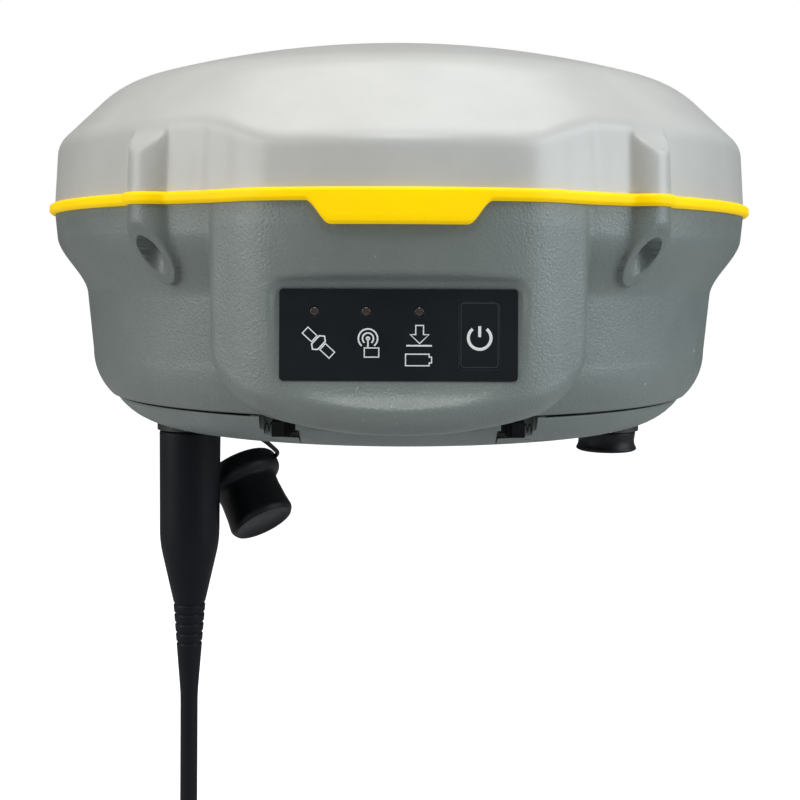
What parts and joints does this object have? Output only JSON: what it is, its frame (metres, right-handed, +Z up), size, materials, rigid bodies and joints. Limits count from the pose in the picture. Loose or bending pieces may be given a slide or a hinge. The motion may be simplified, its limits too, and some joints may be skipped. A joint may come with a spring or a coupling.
{
  "type": "gnss receiver",
  "caption": "Domed satellite surveying receiver for a range pole, with front keypad, bumper band, hinged battery door and a radio whip hanging from the base.",
  "frame": {"origin": "mouth of the pole thread, at the centre of the flat underside", "axes": "+Z up along the pole thread, keypad faces -Y, whip antenna on the -X side"},
  "size_m": [0.1898, 0.1943, 0.2727],
  "materials": {
    "radome_plastic": "satin, fine grain",
    "band_yellow": "satin",
    "housing_plastic": "textured",
    "base_plastic": "fine texture",
    "seal_rubber": "matt",
    "steel": "plain",
    "keypad_film": "satin film",
    "lamp_lens": "clear smoke",
    "circuit_board": "solder mask",
    "module_black": "moulded",
    "flex_film": "film",
    "battery_case": "moulded",
    "inner_plastic": "moulded",
    "contact_metal": "plated",
    "foam": "closed-cell foam",
    "brass": "turned",
    "shield_tin": "tinned",
    "plate_aluminium": "plain",
    "antenna_ceramic": "fired",
    "cable_jacket": "smooth",
    "cap_rubber": "moulded",
    "whip_rubber": "moulded",
    "latch_plastic": "moulded"
  },
  "bodies": {
    "receiver": {"radome": "radome_plastic", "bumper_band": "band_yellow", "lower_housing": "housing_plastic", "base_cover": "base_plastic", "housing_seal": "seal_rubber", "base_seal": "seal_rubber", "housing_screws": "steel", "base_screws": "steel", "keypad_overlay": "keypad_film", "status_lenses": "lamp_lens", "keypad_board": "circuit_board", "key_switch": "module_black", "keypad_flex": "flex_film", "battery_pack": "battery_case", "battery_bay": "inner_plastic", "battery_contacts": "contact_metal", "door_hinge_pin": "steel", "pole_insert": "brass", "main_board": "circuit_board", "power_board": "circuit_board", "board_standoffs": "brass", "board_screws": "steel", "gnss_module": "module_black", "main_shield": "shield_tin", "radio_module": "shield_tin", "bluetooth_module": "module_black", "ground_plane": "plate_aluminium", "antenna_board": "circuit_board", "antenna_shield": "shield_tin", "antenna_element": "antenna_ceramic", "radio_coax": "cable_jacket", "antenna_coax": "cable_jacket", "radio_connector": "module_black", "socket_nuts": "steel", "port_connector": "module_black", "serial_port": "module_black", "strap_post": "steel", "latch_spring_left": "steel", "latch_spring_right": "steel"},
    "battery_door": {"battery_door": "base_plastic", "door_pad": "foam"},
    "door_latch_left": {"door_latch_left": "latch_plastic"},
    "door_latch_right": {"door_latch_right": "latch_plastic"},
    "power_key": {"power_button": "keypad_film"},
    "antenna": {"antenna_coupling": "contact_metal", "antenna_sleeve": "whip_rubber", "antenna_neck": "whip_rubber"},
    "whip": {"antenna_whip": "whip_rubber"},
    "radio_cap": {"radio_cap": "cap_rubber", "cap_strap": "cap_rubber"},
    "port_cap": {"port_cap": "cap_rubber"},
    "serial_cover": {"serial_cover": "cap_rubber"}
  },
  "joints": [
    {"name": "battery_door_swing", "type": "hinge", "parent": "receiver", "child": "battery_door", "pos_m": [0, -0.0202, 0.0024], "axis": [1, 0, 0], "range_deg": [0, 80]},
    {"name": "door_latch_left_slide", "type": "slide", "parent": "receiver", "child": "door_latch_left", "axis": [-1, 0, 0], "range_m": [0, 0.0015], "stiffness_N_per_m": 400, "springref_m": -0.001, "deforming": ["latch_spring_left"]},
    {"name": "door_latch_right_slide", "type": "slide", "parent": "receiver", "child": "door_latch_right", "axis": [1, 0, 0], "range_m": [0, 0.0015], "stiffness_N_per_m": 400, "springref_m": -0.001, "deforming": ["latch_spring_right"]},
    {"name": "power_key_press", "type": "slide", "parent": "receiver", "child": "power_key", "axis": [0, 1, 0], "range_m": [0, 0.0006], "stiffness_N_per_m": 1500, "springref_m": -0.0004},
    {"name": "antenna_spin", "type": "hinge", "parent": "receiver", "child": "antenna", "pos_m": [-0.0554, -0.019, 0], "axis": [0, 0, 1], "continuous": true},
    {"name": "whip_flex", "type": "hinge", "parent": "antenna", "child": "whip", "pos_m": [-0.0554, -0.019, -0.053], "axis": [0, 1, 0], "range_deg": [-30, 30], "stiffness_Nm_per_rad": 0.12, "deforming": ["antenna_neck"]},
    {"name": "radio_cap_swing", "type": "hinge", "parent": "receiver", "child": "radio_cap", "pos_m": [-0.0383, -0.0122, -0.0023], "axis": [-0.1903, 0.9817, 0], "range_deg": [-25, 10]},
    {"name": "port_cap_pull", "type": "slide", "parent": "receiver", "child": "port_cap", "axis": [0, 0, -1], "range_m": [0, 0.012]},
    {"name": "serial_cover_pull", "type": "slide", "parent": "receiver", "child": "serial_cover", "axis": [0, 0, -1], "range_m": [0, 0.01]}
  ]
}
